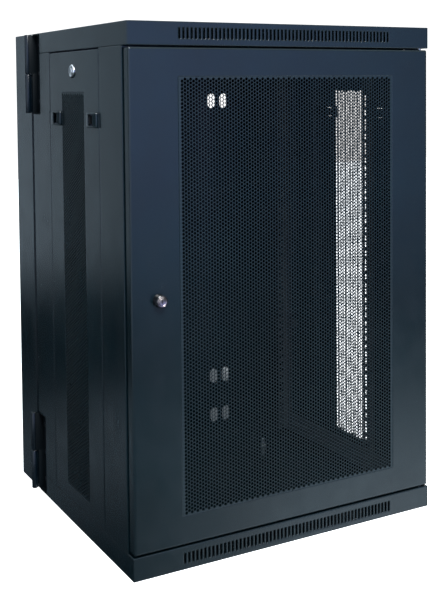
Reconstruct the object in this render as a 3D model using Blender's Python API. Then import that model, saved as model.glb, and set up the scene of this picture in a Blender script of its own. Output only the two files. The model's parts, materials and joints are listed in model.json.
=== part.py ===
"""Swing-out wall rack cabinet, 18 units high, as separate named sub-parts.

Metres, +Z up. The row's origin is on the floor plane under the middle of the case.
The perforated door is at the front (-Y), the wall frame at the back (+Y).
"""
import math

import bmesh
import bpy

# ---------------------------------------------------------------- dimensions
WIDTH = 0.600
DEPTH = 0.550
HEIGHT = 0.890
HALF = WIDTH / 2
FRONT = -DEPTH / 2
BACK = DEPTH / 2
SHEET = 0.0015                  # steel sheet of every folded part
GAP = 0.0003                    # air between parts that touch

CASE_BACK = FRONT + 0.4465      # rear of the swinging case
WALL_FRONT = FRONT + 0.4575     # front of the fixed wall frame
LIP = 0.038                     # height of the top and bottom tray flanges
SHELF = 0.0245                  # return behind each vented lip

SLOT_COUNT = 57                 # vent slots in each lip
SLOT_SPAN = 0.417
SLOT_WIDTH = 0.0034
SLOT_HEIGHT = 0.018
SLOT_MIDDLE = 0.0185            # slot centre from the outer face of the tray

POST_FRONT = FRONT + 0.0230     # front face of the front posts, behind the door
JAMB = 0.0130                   # depth of the posts' returns beside the side panels
PANEL_FRONT = FRONT + 0.1180    # side panel edges
PANEL_BACK = FRONT + 0.3520
PANEL_LOW = 0.0390
PANEL_HIGH = 0.8495
PANEL_FLANGE = 0.0120
GRILLE_FRONT = FRONT + 0.1840   # perforated strip of the side panel
GRILLE_BACK = FRONT + 0.2900
GRILLE_LOW = 0.0640
GRILLE_HIGH = 0.7780

DOOR_HALF = 0.2980
DOOR_LOW = 0.0410
DOOR_HIGH = 0.8490
DOOR_DEEP = 0.0180
DOOR_RADIUS = 0.0025
MESH_LEFT = -0.2115
MESH_RIGHT = 0.2175
MESH_LOW = 0.0887
MESH_HIGH = 0.8020
DOOR_AXIS = (0.2900, FRONT + 0.0120)
DOOR_PIN_R = 0.0030

LOCK_X = -0.2502
LOCK_Z = 0.4465
LOCK_R = 0.0110
LOCK_PROUD = 0.0130
PLUG_R = 0.0060

HINGE_X = -0.3070               # long barrels at the rear left corner
HINGE_Y = 0.1810
HINGE_R = 0.0058
HINGE_PIN_R = 0.0030
HINGE_BORE_R = 0.00308
HINGE_LONG = 0.1510
POCKET_DEEP = 0.0120
POCKET_FRONT = 0.1350

UNIT = 0.04445                  # one rack unit
UNITS = 18
RAIL_LOW = 0.0445
RAIL_HIGH = 0.8455
RAIL_HOLE = 0.0095
RAIL_HOLE_X = 0.23255
RAIL_OUTER = 0.2502
RAIL_INNER = 0.2250
RAIL_SHEET = 0.0020
RAIL_DEEP = 0.0180
RAIL_FRONT = FRONT + 0.0965
RAIL_BACK = FRONT + 0.4020

SIDE_LOCK_Y = -0.0380
SIDE_LOCK_Z = 0.8150
LATCH_LOW = 0.7185
LATCH_HIGH = 0.7445
LATCH_LONG = 0.0440
LATCH_PROUD = 0.0045
LATCH_TRAVEL = 0.0080

SWING_LATCH_X = 0.2850
SWING_LATCH_Z = (0.2600, 0.6300)

for old in list(bpy.data.objects):
    bpy.data.objects.remove(old, do_unlink=True)


# ---------------------------------------------------------------- materials
def paint(name, color, roughness, metallic):
    mat = bpy.data.materials.new(name)
    mat.use_nodes = True
    shader = mat.node_tree.nodes["Principled BSDF"]
    shader.inputs["Base Color"].default_value = (*color, 1.0)
    shader.inputs["Roughness"].default_value = roughness
    shader.inputs["Metallic"].default_value = metallic
    mat.diffuse_color = (*color, 1.0)
    return mat


BLACK = paint("black_powder_coat", (0.022, 0.028, 0.036), 0.38, 0.0)
MESH = paint("black_mesh_coat", (0.018, 0.023, 0.030), 0.45, 0.0)
RAIL = paint("rail_black_coat", (0.016, 0.018, 0.021), 0.50, 0.0)
PLASTIC = paint("black_plastic", (0.010, 0.011, 0.013), 0.42, 0.0)
CHROME = paint("lock_chrome", (0.72, 0.73, 0.75), 0.16, 1.0)
ZINC = paint("zinc_steel", (0.52, 0.53, 0.55), 0.36, 1.0)
HINGE = paint("hinge_black_steel", (0.014, 0.016, 0.019), 0.34, 0.3)


# ---------------------------------------------------------------- helpers
def finish(bm, name, mat, origin=(0.0, 0.0, 0.0), round_piece=False):
    bmesh.ops.recalc_face_normals(bm, faces=bm.faces)
    for vert in bm.verts:
        vert.co.x -= origin[0]
        vert.co.y -= origin[1]
        vert.co.z -= origin[2]
    mesh = bpy.data.meshes.new(name)
    bm.to_mesh(mesh)
    bm.free()
    if mat is not None:
        mesh.materials.append(mat)
    obj = bpy.data.objects.new(name, mesh)
    obj.location = origin
    bpy.context.scene.collection.objects.link(obj)
    if round_piece:
        mesh.shade_smooth()
        mesh.set_sharp_from_angle(angle=math.radians(35))
    return obj


def add_box(bm, low, high):
    corners = [(low[0], high[0]), (low[1], high[1]), (low[2], high[2])]
    verts = [bm.verts.new((corners[0][i], corners[1][j], corners[2][k]))
             for i in (0, 1) for j in (0, 1) for k in (0, 1)]
    for a, b, c, d in ((0, 1, 3, 2), (4, 6, 7, 5), (0, 4, 5, 1), (2, 3, 7, 6),
                       (0, 2, 6, 4), (1, 5, 7, 3)):
        bm.faces.new((verts[a], verts[b], verts[c], verts[d]))


def box(name, low, high, mat, origin=(0.0, 0.0, 0.0)):
    bm = bmesh.new()
    add_box(bm, low, high)
    return finish(bm, name, mat, origin)


def add_prism(bm, outline, axis, start, end):
    """Outline is in the plane across the axis: (y, z), (x, z) or (x, y)."""
    def place(point, along):
        if axis == "X":
            return (along, point[0], point[1])
        if axis == "Y":
            return (point[0], along, point[1])
        return (point[0], point[1], along)
    first = [bm.verts.new(place(p, start)) for p in outline]
    last = [bm.verts.new(place(p, end)) for p in outline]
    bm.faces.new(first)
    bm.faces.new(list(reversed(last)))
    count = len(outline)
    for i in range(count):
        j = (i + 1) % count
        bm.faces.new((first[i], last[i], last[j], first[j]))


def prism(name, outline, axis, start, end, mat, origin=(0.0, 0.0, 0.0), round_piece=False):
    bm = bmesh.new()
    add_prism(bm, outline, axis, start, end)
    return finish(bm, name, mat, origin, round_piece)


def circle(center, radius, count=24):
    return [(center[0] + radius * math.cos(2 * math.pi * i / count),
             center[1] + radius * math.sin(2 * math.pi * i / count)) for i in range(count)]


def obround(center, half_width, half_height, steps=5):
    """Upright slot with round ends, as an outline."""
    rise = half_height - half_width
    points = []
    for i in range(steps + 1):
        turn = math.pi * i / steps
        points.append((center[0] + half_width * math.cos(turn),
                       center[1] + rise + half_width * math.sin(turn)))
    for i in range(steps + 1):
        turn = math.pi + math.pi * i / steps
        points.append((center[0] + half_width * math.cos(turn),
                       center[1] - rise + half_width * math.sin(turn)))
    return points


def guide(obj):
    obj.hide_render = True
    obj.display_type = 'WIRE'
    return obj


def boolean(obj, tool, operation):
    mod = obj.modifiers.new(operation.lower(), 'BOOLEAN')
    mod.operation = operation
    mod.solver = 'EXACT'
    mod.object = tool
    guide(tool)


def cut(obj, tool):
    boolean(obj, tool, 'DIFFERENCE')


def join(obj, tool):
    boolean(obj, tool, 'UNION')


def many_boxes(name, pairs):
    bm = bmesh.new()
    for low, high in pairs:
        add_box(bm, low, high)
    return finish(bm, name, None)


def empty_at(name, place, parent=None):
    pivot = bpy.data.objects.new(name, None)
    pivot.empty_display_size = 0.03
    pivot.location = place
    bpy.context.scene.collection.objects.link(pivot)
    if parent is not None:
        hang(pivot, parent)
    return pivot


WORLD_PLACE = {}


def hang(child, parent):
    """Parent an object and keep where it stands."""
    base = WORLD_PLACE.get(parent.name, tuple(parent.location))
    here = tuple(child.location)
    WORLD_PLACE[parent.name] = base
    WORLD_PLACE[child.name] = here
    child.parent = parent
    child.location = tuple(here[i] - base[i] for i in range(3))


# ---------------------------------------------------------------- wall frame
def wall_frame():
    """Shallow tray, open to the front, with bolt slots and cable openings in its back."""
    frame = box("wall_frame", (-HALF, WALL_FRONT, 0.0), (HALF, BACK, HEIGHT), BLACK)
    cut(frame, box("frame_hollow", (-HALF + SHEET, WALL_FRONT - 0.005, SHEET),
                   (HALF - SHEET, BACK - SHEET, HEIGHT - SHEET), None))
    bm = bmesh.new()
    for x in (-0.176, -0.146, 0.146, 0.176):
        for z in (0.047, 0.135, 0.755, 0.843):
            add_prism(bm, obround((x, z), 0.0090, 0.0165), "Y", BACK - 0.006, BACK + 0.004)
    for z in (0.0900, 0.8000):
        add_box(bm, (-0.0550, BACK - 0.006, z - 0.030), (0.0550, BACK + 0.004, z + 0.030))
    cut(frame, finish(bm, "frame_openings", None))
    return frame


def wall_frame_flange():
    """Ring welded into the tray's mouth, with slots for the quarter-turn bolts."""
    edge = SHEET + GAP
    ring = box("wall_frame_flange", (-HALF + edge, WALL_FRONT, edge),
               (HALF - edge, WALL_FRONT + SHEET, HEIGHT - edge), BLACK)
    bm = bmesh.new()
    add_box(bm, (-HALF + 0.030, WALL_FRONT - 0.004, 0.020),
            (HALF - 0.030, WALL_FRONT + 0.004, HEIGHT - 0.020))
    for z in SWING_LATCH_Z:
        add_box(bm, (SWING_LATCH_X - 0.0042, WALL_FRONT - 0.004, z - 0.013),
                (SWING_LATCH_X + 0.0042, WALL_FRONT + 0.004, z + 0.013))
    cut(ring, finish(bm, "flange_openings", None))
    return ring


def wall_cable_cover(name, z):
    return box(name, (-0.0650, BACK - SHEET - GAP - SHEET, z - 0.038),
               (0.0650, BACK - SHEET - GAP, z + 0.038), BLACK)


def hinge_wall_leaf(name, base):
    """Leaf in the gap, lower knuckle and the pin that stands up out of it."""
    origin = (HINGE_X, HINGE_Y, base)
    middle = base + 0.0755
    leaf = box(name, (HINGE_X + 0.0074, HINGE_Y - 0.0008, base),
               (HINGE_X + 0.0340, HINGE_Y + 0.0012, base + HINGE_LONG), HINGE, origin)
    join(leaf, box(name + "_arm", (HINGE_X + 0.0045, HINGE_Y - 0.0008, base + 0.0010),
                   (HINGE_X + 0.0090, HINGE_Y + 0.0012, middle - 0.0010), None))
    join(leaf, prism(name + "_knuckle", circle((HINGE_X, HINGE_Y), HINGE_R), "Z",
                     base, middle, None))
    join(leaf, prism(name + "_pin", circle((HINGE_X, HINGE_Y), HINGE_PIN_R, 16), "Z",
                     middle - 0.010, base + HINGE_LONG - 0.006, None))
    return leaf


def hinge_case_leaf(name, base):
    """Upper knuckle with a blind bore, an arm, and a leaf on the pocket's floor."""
    origin = (HINGE_X, HINGE_Y, base)
    middle = base + 0.0765
    top = base + HINGE_LONG
    floor = -HALF + POCKET_DEEP
    leaf = box(name, (floor - GAP - 0.0030, POCKET_FRONT + 0.0025, base + 0.0030),
               (floor - GAP, 0.1765, top - 0.0030), HINGE, origin)
    join(leaf, box(name + "_arm", (HINGE_X, 0.1725, middle + 0.0005),
                   (floor - GAP - 0.0010, 0.1762, top - 0.0035), None))
    join(leaf, prism(name + "_knuckle", circle((HINGE_X, HINGE_Y), HINGE_R), "Z",
                     middle, top, None))
    cut(leaf, prism(name + "_bore", circle((HINGE_X, HINGE_Y), HINGE_BORE_R, 16), "Z",
                    middle - 0.004, top - 0.0040, None))
    return leaf


def hinge_pocket(name, low, high):
    """Open tray let into the rear post's corner, where the hinge leaf is screwed."""
    tray = box(name, (-HALF, POCKET_FRONT - SHEET, low),
               (-HALF + POCKET_DEEP + SHEET, CASE_BACK, high), HINGE)
    cut(tray, box(name + "_hollow", (-HALF - 0.005, POCKET_FRONT, low + SHEET),
                  (-HALF + POCKET_DEEP, CASE_BACK + 0.005, high - SHEET), None))
    return tray


# ---------------------------------------------------------------- case
def tray_cover(name, low, inward):
    """Folded tray: plate, side flanges, and a vented lip with a return behind it.

    low is the tray's outer face, inward is +1 for the floor and -1 for the roof,
    which alone has two groups of fan slots.
    """
    def z_span(near, far):
        ends = (low + inward * near, low + inward * far)
        return min(ends), max(ends)
    z0, z1 = z_span(0.0, LIP)
    tray = box(name, (-HALF, FRONT, z0), (HALF, CASE_BACK, z1), BLACK)
    z0, z1 = z_span(SHEET, LIP - SHEET)
    cut(tray, box(name + "_hollow", (-HALF + SHEET, FRONT + SHEET, z0),
                  (HALF - SHEET, CASE_BACK - SHEET, z1), None))
    z0, z1 = z_span(LIP - SHEET - 0.002, LIP + 0.004)
    cut(tray, box(name + "_mouth", (-HALF + SHEET, FRONT + SHELF, z0),
                  (HALF - SHEET, CASE_BACK - SHEET, z1), None))
    bm = bmesh.new()
    pitch = SLOT_SPAN / (SLOT_COUNT - 1)
    z0, z1 = z_span(SLOT_MIDDLE - SLOT_HEIGHT / 2, SLOT_MIDDLE + SLOT_HEIGHT / 2)
    for i in range(SLOT_COUNT):
        x = -SLOT_SPAN / 2 + pitch * i
        add_box(bm, (x - SLOT_WIDTH / 2, FRONT - 0.004, z0),
                (x + SLOT_WIDTH / 2, FRONT + 0.004, z1))
    z0, z1 = z_span(-0.004, 0.004)
    add_box(bm, (-0.150, 0.060, z0), (0.150, 0.130, z1))
    for side in (-1, 1) if inward < 0 else ():
        for row in range(9):
            y = -0.140 + 0.0140 * row
            add_box(bm, (side * 0.130 - 0.045, y - 0.003, z0),
                    (side * 0.130 + 0.045, y + 0.003, z1))
    cut(tray, finish(bm, name + "_openings", None))
    z0, z1 = z_span(LIP - 0.006, LIP + 0.006)
    cut(tray, prism(name + "_pin_hole", circle(DOOR_AXIS, DOOR_PIN_R + GAP, 16),
                    "Z", z0, z1, None))
    z0, z1 = z_span(SHEET, LIP + 0.004)
    cut(tray, box(name + "_pocket", (-HALF - 0.004, POCKET_FRONT - SHEET - GAP, z0),
                  (-HALF + POCKET_DEEP + SHEET + GAP, CASE_BACK + 0.004, z1), None))
    return tray


def cable_cover(name, z):
    return box(name, (-0.160, 0.050, z), (0.160, 0.140, z + SHEET), BLACK)


def front_post(name, side):
    """Folded channel: outer web, return behind the door, jamb for the side panel."""
    back = PANEL_FRONT - 0.0026
    x = [side * v for v in (HALF, HALF - SHEET, HALF - 0.035, HALF - JAMB)]
    outline = [(x[0], POST_FRONT), (x[0], back), (x[3], back), (x[3], back - SHEET),
               (x[1], back - SHEET), (x[1], POST_FRONT + SHEET), (x[2], POST_FRONT + SHEET),
               (x[2], POST_FRONT)]
    post = prism(name, outline, "Z", LIP + GAP, HEIGHT - LIP - GAP, BLACK)
    ends = sorted((side * (HALF - 0.0003), side * (HALF - 0.0065)))
    cut(post, box(name + "_strike", (ends[0], back - 0.004, LATCH_LOW + 0.0025),
                  (ends[1], back + 0.004, LATCH_HIGH - 0.0025), None))
    return post


def rear_post(name, side):
    front = PANEL_BACK + 0.0015
    x = [side * v for v in (HALF, HALF - SHEET, HALF - 0.030, HALF - JAMB)]
    outline = [(x[0], front), (x[0], CASE_BACK), (x[2], CASE_BACK), (x[2], CASE_BACK - SHEET),
               (x[1], CASE_BACK - SHEET), (x[1], front + SHEET), (x[3], front + SHEET),
               (x[3], front)]
    post = prism(name, outline, "Z", LIP + GAP, HEIGHT - LIP - GAP, BLACK)
    ends = sorted((side * (HALF - 0.0003), side * (HALF - 0.0065)))
    cut(post, box(name + "_strike", (ends[0], front - 0.004, LATCH_LOW + 0.0025),
                  (ends[1], front + 0.004, LATCH_HIGH - 0.0025), None))
    if side < 0:
        edge = 0.0018 + HINGE_LONG + GAP
        for tag, z0, z1 in (("low", 0.0, edge), ("high", HEIGHT - edge, HEIGHT)):
            cut(post, box(name + "_notch_" + tag,
                          (-HALF - 0.004, POCKET_FRONT - SHEET - GAP, z0),
                          (-HALF + POCKET_DEEP + SHEET + GAP, CASE_BACK + 0.004, z1), None))
    else:
        bm = bmesh.new()
        for z in SWING_LATCH_Z:
            add_prism(bm, circle((SWING_LATCH_X, z), 0.0033, 16), "Y",
                      CASE_BACK - 0.005, CASE_BACK + 0.005)
        cut(post, finish(bm, name + "_latch_holes", None))
    return post


def rail_beam(name, side, upper):
    """Channel from front post to rear post that the rails are screwed to."""
    if upper:
        edge, fold = HEIGHT - LIP - 0.0022, -1
    else:
        edge, fold = LIP + 0.0022, 1
    points = [(0.2860, 0.0), (0.2860, 0.018), (0.2845, 0.018), (0.2845, SHEET),
              (0.2520, SHEET), (0.2520, 0.035), (0.2505, 0.035), (0.2505, 0.0)]
    outline = [(side * px, edge + fold * pz) for px, pz in points]
    beam = prism(name, outline, "Y", POST_FRONT + 0.0060, CASE_BACK - 0.0060, RAIL)
    bm = bmesh.new()
    ends = sorted((side * 0.2490, side * 0.2535))
    heights = sorted((edge + fold * 0.0180, edge + fold * 0.0245))
    for y0, y1 in ((-0.215, -0.110), (0.055, 0.150)):
        add_box(bm, (ends[0], y0, heights[0]), (ends[1], y1, heights[1]))
    cut(beam, finish(bm, name + "_slots", None))
    return beam


def rail(name, side, face, deep):
    """Square-hole angle. face is the mounting plane, deep the fold's direction."""
    far = face + deep * RAIL_DEEP
    near = face + deep * RAIL_SHEET
    outline = [(side * RAIL_INNER, face), (side * RAIL_OUTER, face), (side * RAIL_OUTER, far),
               (side * (RAIL_OUTER - RAIL_SHEET), far), (side * (RAIL_OUTER - RAIL_SHEET), near),
               (side * RAIL_INNER, near)]
    angle = prism(name, outline, "Z", RAIL_LOW, RAIL_HIGH, RAIL)
    bm = bmesh.new()
    x = side * RAIL_HOLE_X
    half = RAIL_HOLE / 2
    ends = sorted((face - deep * 0.003, near + deep * 0.003))
    for unit in range(UNITS):
        for offset in (0.00635, 0.022225, 0.0381):
            z = 0.0450 + unit * UNIT + offset
            add_box(bm, (x - half, ends[0], z - half), (x + half, ends[1], z + half))
    cut(angle, finish(bm, name + "_holes", None))
    return angle


def earth_stud(name, x, y):
    stud = prism(name, circle((x, y), 0.0065, 6), "Z", SHEET + GAP, 0.0060, ZINC)
    join(stud, prism(name + "_thread", circle((x, y), 0.0030, 12), "Z", 0.0040, 0.0200, None))
    return stud


# ---------------------------------------------------------------- front door
def front_door():
    bm = bmesh.new()
    add_box(bm, (-DOOR_HALF, FRONT, DOOR_LOW), (DOOR_HALF, FRONT + DOOR_DEEP, DOOR_HIGH))
    front_edges = [e for e in bm.edges
                   if not all(abs(v.co.y - (FRONT + DOOR_DEEP)) < 1e-6 for v in e.verts)]
    bmesh.ops.bevel(bm, geom=front_edges, offset=DOOR_RADIUS, segments=2, profile=0.5,
                    affect='EDGES')
    origin = (DOOR_AXIS[0], DOOR_AXIS[1], 0.0)
    door = finish(bm, "front_door", BLACK, origin, True)
    cut(door, box("door_hollow",
                  (-DOOR_HALF + SHEET, FRONT + SHEET, DOOR_LOW + SHEET),
                  (DOOR_HALF - SHEET, FRONT + DOOR_DEEP + 0.005, DOOR_HIGH - SHEET), None))
    cut(door, box("door_window", (MESH_LEFT, FRONT - 0.004, MESH_LOW),
                  (MESH_RIGHT, FRONT + 0.004, MESH_HIGH), None))
    cut(door, prism("door_lock_hole", circle((LOCK_X, LOCK_Z), 0.0093), "Y",
                    FRONT - 0.004, FRONT + 0.004, None))
    cut(door, prism("door_pin_holes", circle(DOOR_AXIS, DOOR_PIN_R + GAP, 16), "Z",
                    DOOR_LOW - 0.004, DOOR_HIGH + 0.004, None))
    return door


def door_mesh():
    return box("door_mesh", (MESH_LEFT + GAP, FRONT, MESH_LOW + GAP),
               (MESH_RIGHT - GAP, FRONT + SHEET, MESH_HIGH - GAP), MESH,
               (DOOR_AXIS[0], DOOR_AXIS[1], 0.0))


def door_stiffener(name, x):
    face = FRONT + SHEET + GAP
    outline = [(x - 0.014, face), (x - 0.014, face + 0.0012), (x - 0.0092, face + 0.0012),
               (x - 0.0080, face + 0.0100), (x + 0.0080, face + 0.0100),
               (x + 0.0092, face + 0.0012), (x + 0.014, face + 0.0012), (x + 0.014, face),
               (x + 0.0082, face), (x + 0.0070, face + 0.0088), (x - 0.0070, face + 0.0088),
               (x - 0.0082, face)]
    return prism(name, outline, "Z", 0.0550, 0.8350, BLACK, (DOOR_AXIS[0], DOOR_AXIS[1], 0.0))


def door_hinge_pin(name, low, high):
    return prism(name, circle(DOOR_AXIS, DOOR_PIN_R, 16), "Z", low, high, ZINC,
                 (DOOR_AXIS[0], DOOR_AXIS[1], low), True)


def door_lock_body():
    origin = (LOCK_X, FRONT, LOCK_Z)
    body = prism("door_lock_body", circle((LOCK_X, LOCK_Z), LOCK_R), "Y",
                 FRONT - LOCK_PROUD, FRONT - GAP, PLASTIC, origin, True)
    join(body, prism("door_lock_barrel", circle((LOCK_X, LOCK_Z), 0.0090), "Y",
                     FRONT - 0.002, FRONT + 0.0255, None))
    cut(body, prism("door_lock_bore", circle((LOCK_X, LOCK_Z), PLUG_R + GAP), "Y",
                    FRONT - 0.030, FRONT + 0.040, None))
    return body


def door_lock_plug():
    origin = (LOCK_X, FRONT, LOCK_Z)
    plug = prism("door_lock_plug", circle((LOCK_X, LOCK_Z), PLUG_R), "Y",
                 FRONT - LOCK_PROUD - 0.0006, FRONT + 0.0290, CHROME, origin, True)
    cut(plug, box("door_lock_keyway", (LOCK_X - 0.0008, FRONT - 0.020, LOCK_Z - 0.0035),
                  (LOCK_X + 0.0008, FRONT - 0.002, LOCK_Z + 0.0035), None))
    return plug


def lock_cam(name, axis, center, near, far, reach, origin, bore):
    """Flat cam with a round end. center and reach are in the plane across the axis."""
    turn = math.atan2(reach[1], reach[0])
    long = math.hypot(*reach)
    points = []
    for i in range(9):
        angle = math.pi / 2 + math.pi * i / 8
        points.append((0.0095 * math.cos(angle), 0.0095 * math.sin(angle)))
    for i in range(9):
        angle = -math.pi / 2 + math.pi * i / 8
        points.append((long - 0.0070 + 0.0070 * math.cos(angle), 0.0070 * math.sin(angle)))
    outline = [(center[0] + px * math.cos(turn) - py * math.sin(turn),
                center[1] + px * math.sin(turn) + py * math.cos(turn)) for px, py in points]
    cam = prism(name, outline, axis, near, far, ZINC, origin)
    cut(cam, prism(name + "_eye", circle(center, bore), axis, near - 0.004, far + 0.004, None))
    return cam


# ---------------------------------------------------------------- side panels
def side_panel(name, side):
    """Folded pan with a long window, latch and lock holes, and tongue slots."""
    ends = sorted((side * HALF, side * (HALF - PANEL_FLANGE)))
    panel = box(name, (ends[0], PANEL_FRONT, PANEL_LOW), (ends[1], PANEL_BACK, PANEL_HIGH), BLACK,
                (side * HALF, 0.0, 0.0))
    skin = side * (HALF - SHEET)
    ends = sorted((skin, side * (HALF - PANEL_FLANGE - 0.005)))
    cut(panel, box(name + "_hollow", (ends[0], PANEL_FRONT + SHEET, PANEL_LOW + SHEET),
                   (ends[1], PANEL_BACK - SHEET, PANEL_HIGH - SHEET), None))
    through = sorted((side * (HALF + 0.005), side * (HALF - 0.005)))
    holes = [((through[0], GRILLE_FRONT, GRILLE_LOW), (through[1], GRILLE_BACK, GRILLE_HIGH))]
    for start, _, _ in latch_places():
        holes.append(((through[0], start + 0.0080, LATCH_LOW + 0.0025),
                      (through[1], start + 0.0410, LATCH_HIGH - 0.0025)))
    tongue = sorted((side * (HALF - 0.0019), side * (HALF - 0.0050)))
    for edge in (PANEL_FRONT, PANEL_BACK):
        holes.append(((tongue[0], edge - 0.004, LATCH_LOW + 0.0030),
                      (tongue[1], edge + 0.004, LATCH_HIGH - 0.0030)))
    cut(panel, many_boxes(name + "_holes", holes))
    cut(panel, prism(name + "_lock_hole", circle((SIDE_LOCK_Y, SIDE_LOCK_Z), 0.0093), "X",
                     through[0], through[1], None))
    return panel


def side_grille(name, side):
    ends = sorted((side * HALF, side * (HALF - SHEET)))
    return box(name, (ends[0], GRILLE_FRONT + GAP, GRILLE_LOW + GAP),
               (ends[1], GRILLE_BACK - GAP, GRILLE_HIGH - GAP), MESH, (side * HALF, 0.0, 0.0))


def latch_places():
    """Start of each latch bezel along Y, tongue direction and the tongue's end."""
    return ((FRONT + 0.1200, -1, PANEL_FRONT + GAP), (FRONT + 0.2915, 1, PANEL_BACK - GAP))


def latch_bezel(name, side, start):
    ends = sorted((side * (HALF + LATCH_PROUD), side * (HALF + GAP)))
    middle = (side * HALF, start + LATCH_LONG / 2, (LATCH_LOW + LATCH_HIGH) / 2)
    bm = bmesh.new()
    add_box(bm, (ends[0], start, LATCH_LOW), (ends[1], start + LATCH_LONG, LATCH_HIGH))
    outer = side * (HALF + LATCH_PROUD)
    edges = [e for e in bm.edges if not all(abs(v.co.x - side * (HALF + GAP)) < 1e-6
                                            for v in e.verts)]
    edges = [e for e in edges if all(abs(v.co.x - outer) < 1e-6 for v in e.verts)
             or abs(e.verts[0].co.x - e.verts[1].co.x) > 1e-4]
    bmesh.ops.bevel(bm, geom=edges, offset=0.0012, segments=2, profile=0.5, affect='EDGES')
    bezel = finish(bm, name, PLASTIC, middle, True)
    through = sorted((side * (HALF - 0.004), side * (HALF + 0.010)))
    cut(bezel, box(name + "_window", (through[0], start + 0.0150, LATCH_LOW + 0.0035),
                   (through[1], start + 0.0360, LATCH_HIGH - 0.0035), None))
    return bezel


def latch_slide(name, side, start, way, tip):
    """Tongue plate behind the skin, with a finger bar in the bezel's window."""
    middle = (side * HALF, start + 0.0250, (LATCH_LOW + LATCH_HIGH) / 2)
    inner = start + 0.0160 if way > 0 else start + 0.0350
    ends = sorted((side * (HALF - 0.0022), side * (HALF - 0.0044)))
    run = sorted((inner, tip))
    slide = box(name, (ends[0], run[0], LATCH_LOW + 0.0042), (ends[1], run[1], LATCH_HIGH - 0.0042),
                PLASTIC, middle)
    bar = sorted((side * (HALF - 0.0030), side * (HALF + 0.0034)))
    grip = start + 0.0160 if way > 0 else start + 0.0310
    join(slide, box(name + "_grip", (bar[0], grip, LATCH_LOW + 0.0055),
                    (bar[1], grip + 0.0040, LATCH_HIGH - 0.0055), None))
    return slide


def side_lock_body(name, side):
    origin = (side * HALF, SIDE_LOCK_Y, SIDE_LOCK_Z)
    center = (SIDE_LOCK_Y, SIDE_LOCK_Z)
    ends = sorted((side * (HALF + 0.0032), side * (HALF + GAP)))
    body = prism(name, circle(center, 0.0120), "X", ends[0], ends[1], CHROME, origin, True)
    ends = sorted((side * (HALF + 0.0020), side * (HALF - 0.0170)))
    join(body, prism(name + "_barrel", circle(center, 0.0090), "X", ends[0], ends[1], None))
    ends = sorted((side * (HALF + 0.0100), side * (HALF - 0.0300)))
    cut(body, prism(name + "_bore", circle(center, PLUG_R + GAP), "X", ends[0], ends[1], None))
    return body


def side_lock_plug(name, side):
    origin = (side * HALF, SIDE_LOCK_Y, SIDE_LOCK_Z)
    ends = sorted((side * (HALF + 0.0036), side * (HALF - 0.0200)))
    plug = prism(name, circle((SIDE_LOCK_Y, SIDE_LOCK_Z), PLUG_R), "X", ends[0], ends[1], CHROME,
                 origin, True)
    ends = sorted((side * (HALF + 0.0100), side * (HALF - 0.0060)))
    cut(plug, box(name + "_keyway", (ends[0], SIDE_LOCK_Y - 0.0008, SIDE_LOCK_Z - 0.0035),
                  (ends[1], SIDE_LOCK_Y + 0.0008, SIDE_LOCK_Z + 0.0035), None))
    return plug


def swing_latch(name, z):
    """Quarter-turn tee bolt: knob inside the case, bar behind the wall frame's return."""
    origin = (SWING_LATCH_X, CASE_BACK, z)
    center = (SWING_LATCH_X, z)
    latch = prism(name, circle(center, 0.0095, 12), "Y", CASE_BACK - 0.0170, CASE_BACK - 0.0020,
                  PLASTIC, origin, True)
    join(latch, prism(name + "_shaft", circle(center, 0.0030, 12), "Y", CASE_BACK - 0.0060,
                      WALL_FRONT + 0.0040, None))
    join(latch, box(name + "_bar", (SWING_LATCH_X - 0.0032, WALL_FRONT + 0.0025, z - 0.0110),
                    (SWING_LATCH_X + 0.0032, WALL_FRONT + 0.0055, z + 0.0110), None))
    return latch


# ---------------------------------------------------------------- assembly
wall = empty_at("wall_pivot", (0.0, 0.0, 0.0))
case = empty_at("case_swing_axis", (HINGE_X, HINGE_Y, 0.0), wall)
door = empty_at("door_swing_axis", (DOOR_AXIS[0], DOOR_AXIS[1], 0.0), case)

HINGE_LOW = 0.0010
HINGE_HIGH = HEIGHT - 0.0010 - HINGE_LONG

for piece in (wall_frame(), wall_frame_flange(), wall_cable_cover("wall_cable_cover_lower", 0.0900),
              wall_cable_cover("wall_cable_cover_upper", 0.8000),
              hinge_wall_leaf("hinge_wall_leaf_lower", HINGE_LOW),
              hinge_wall_leaf("hinge_wall_leaf_upper", HINGE_HIGH)):
    hang(piece, wall)

TRAY = 0.0018
for piece in (tray_cover("top_cover", HEIGHT, -1), tray_cover("bottom_cover", 0.0, 1),
              cable_cover("top_cable_cover", HEIGHT - SHEET - GAP - SHEET),
              cable_cover("bottom_cable_cover", SHEET + GAP),
              front_post("front_post_left", -1), front_post("front_post_right", 1),
              rear_post("rear_post_left", -1), rear_post("rear_post_right", 1),
              hinge_pocket("hinge_pocket_lower", TRAY, TRAY + HINGE_LONG),
              hinge_pocket("hinge_pocket_upper", HEIGHT - TRAY - HINGE_LONG, HEIGHT - TRAY),
              hinge_case_leaf("hinge_case_leaf_lower", HINGE_LOW),
              hinge_case_leaf("hinge_case_leaf_upper", HINGE_HIGH),
              rail_beam("rail_beam_left_lower", -1, False),
              rail_beam("rail_beam_left_upper", -1, True),
              rail_beam("rail_beam_right_lower", 1, False),
              rail_beam("rail_beam_right_upper", 1, True),
              rail("front_rail_left", -1, RAIL_FRONT, 1),
              rail("front_rail_right", 1, RAIL_FRONT, 1),
              rail("rear_rail_left", -1, RAIL_BACK, -1),
              rail("rear_rail_right", 1, RAIL_BACK, -1),
              earth_stud("earth_stud", 0.2000, 0.1500)):
    hang(piece, case)

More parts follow.
